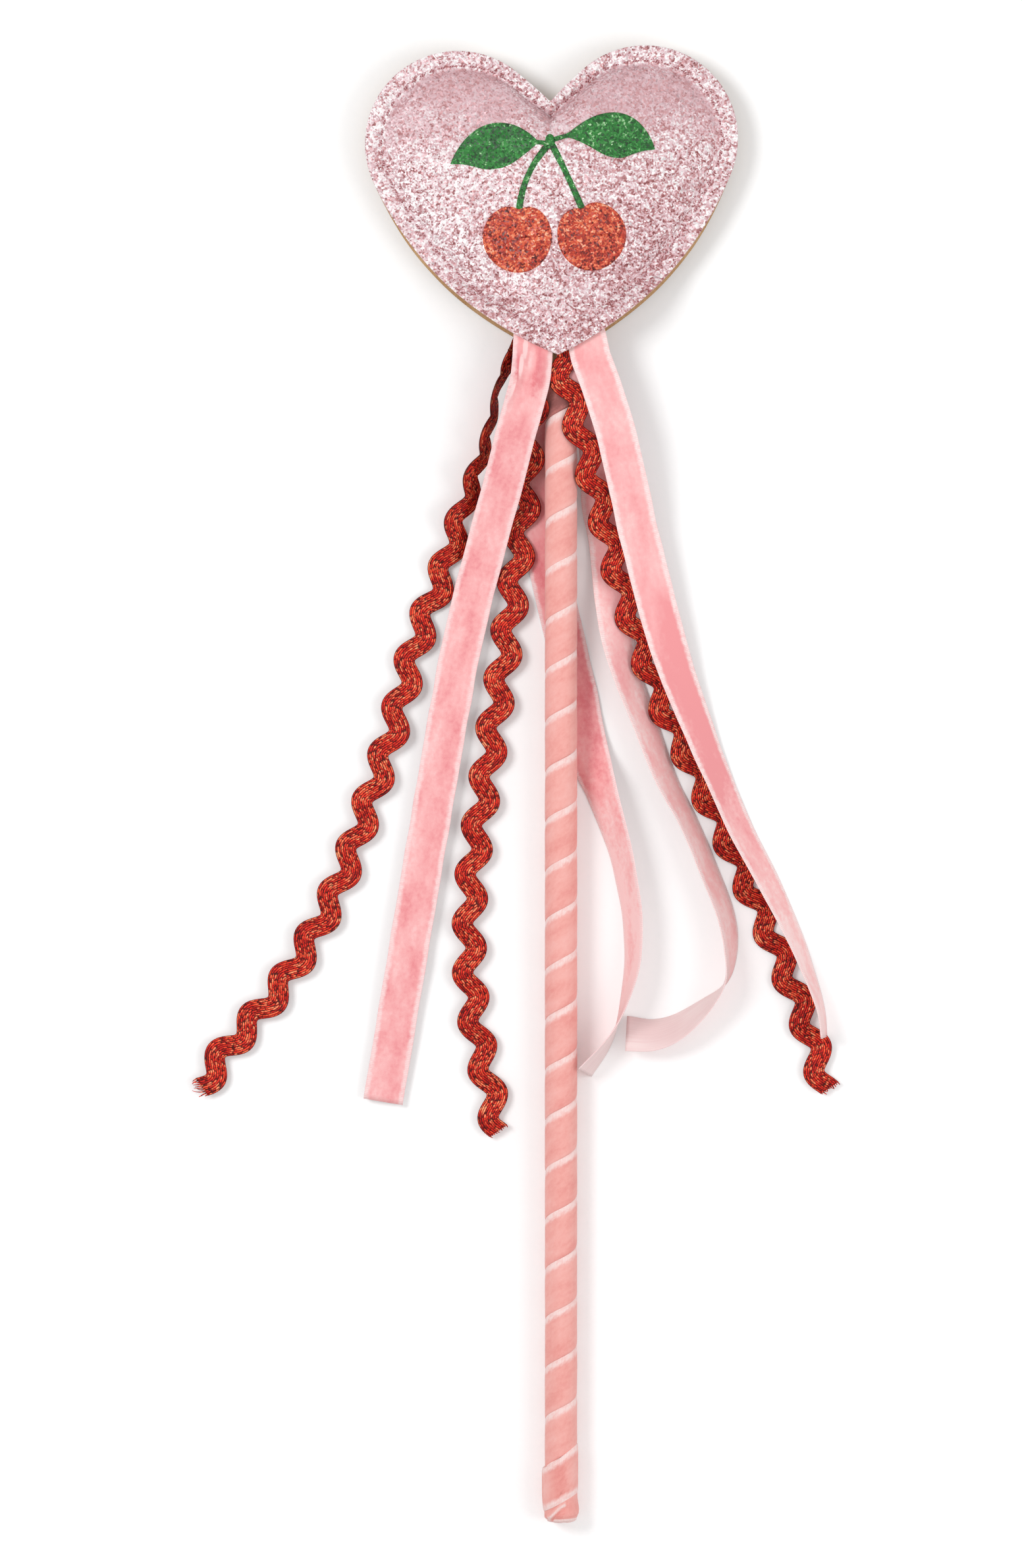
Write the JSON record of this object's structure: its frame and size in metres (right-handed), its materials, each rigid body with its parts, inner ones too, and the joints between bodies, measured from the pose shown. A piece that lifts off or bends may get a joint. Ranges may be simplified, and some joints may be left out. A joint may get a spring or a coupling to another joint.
{
  "type": "toy magic wand",
  "caption": "Padded glitter heart on a ribbon-wound wooden stick, with velvet and ric-rac tails sewn in at its tip; a toy wand to wave in pretend play.",
  "frame": {"origin": "centre of the stick's butt end, on the stick's axis, as the wand lies on its back", "axes": "+Y up the stick to the heart, +Z out of the printed side of the heart, +X to the right seen from the printed side"},
  "size_m": [0.1993, 0.4569, 0.0177],
  "materials": {
    "wood": "plain turned birch",
    "wrap_velvet": "short pile velvet ribbon, salmon pink",
    "tail_velvet": "short pile velvet ribbon, rose pink, pale woven edges",
    "glitter_fabric": "pale pink glitter on cloth",
    "backing_fabric": "tan felted cloth",
    "fibre_fill": "loose white fibre",
    "thread": "pale pink sewing thread",
    "glue": "cloudy hot-melt",
    "green_print": "green glitter film",
    "red_print": "red glitter film",
    "ricrac": "red metallic woven braid"
  },
  "bodies": {
    "wand": {"dowel": "wood", "stick_wrap": "wrap_velvet", "butt_cuff": "wrap_velvet", "heart_front": "glitter_fabric", "heart_back": "backing_fabric", "heart_stuffing": "fibre_fill", "edge_stitching": "thread", "mouth_glue": "glue", "leaf_print": "green_print", "stalk_print": "green_print", "fruit_print": "red_print", "velvet_roots": "tail_velvet", "ricrac_roots": "ricrac"},
    "left_velvet": {"velvet_tail_left": "tail_velvet"},
    "right_velvet": {"velvet_tail_right": "tail_velvet"},
    "middle_velvet": {"velvet_tail_middle": "tail_velvet"},
    "rear_velvet": {"velvet_tail_rear": "tail_velvet"},
    "left_ricrac": {"ricrac_tail_left": "ricrac"},
    "centre_ricrac": {"ricrac_tail_centre": "ricrac"},
    "right_ricrac": {"ricrac_tail_right": "ricrac"}
  },
  "joints": [
    {"name": "left_velvet_lift", "type": "hinge", "parent": "wand", "child": "left_velvet", "pos_m": [-0.0106, 0.36, 0.00893], "axis": [-1, 0, 0], "range_deg": [0, 75]},
    {"name": "right_velvet_lift", "type": "hinge", "parent": "wand", "child": "right_velvet", "pos_m": [0.0102, 0.36, 0.00893], "axis": [-1, 0, 0], "range_deg": [0, 75]},
    {"name": "middle_velvet_lift", "type": "hinge", "parent": "wand", "child": "middle_velvet", "pos_m": [0.0069, 0.36, 0.00673], "axis": [-1, 0, 0], "range_deg": [0, 33.75]},
    {"name": "rear_velvet_drop", "type": "hinge", "parent": "wand", "child": "rear_velvet", "pos_m": [-0.0025, 0.36, -0.00257], "axis": [-1, 0, 0], "range_deg": [-60, 0]},
    {"name": "left_ricrac_lift", "type": "hinge", "parent": "wand", "child": "left_ricrac", "pos_m": [-0.015, 0.36, 0.00678], "axis": [-1, 0, 0], "range_deg": [0, 33.75]},
    {"name": "centre_ricrac_lift", "type": "hinge", "parent": "wand", "child": "centre_ricrac", "pos_m": [-0.0104, 0.36, 0.00788], "axis": [-1, 0, 0], "range_deg": [0, 52.5]},
    {"name": "right_ricrac_lift", "type": "hinge", "parent": "wand", "child": "right_ricrac", "pos_m": [0.0014, 0.36, 0.00788], "axis": [-1, 0, 0], "range_deg": [0, 52.5]}
  ],
  "couplings": [
    {"joint": "left_ricrac_lift", "follows": "left_velvet_lift", "ratio": 0.45},
    {"joint": "centre_ricrac_lift", "follows": "left_velvet_lift", "ratio": 0.7},
    {"joint": "right_ricrac_lift", "follows": "right_velvet_lift", "ratio": 0.7},
    {"joint": "middle_velvet_lift", "follows": "right_velvet_lift", "ratio": 0.45}
  ]
}
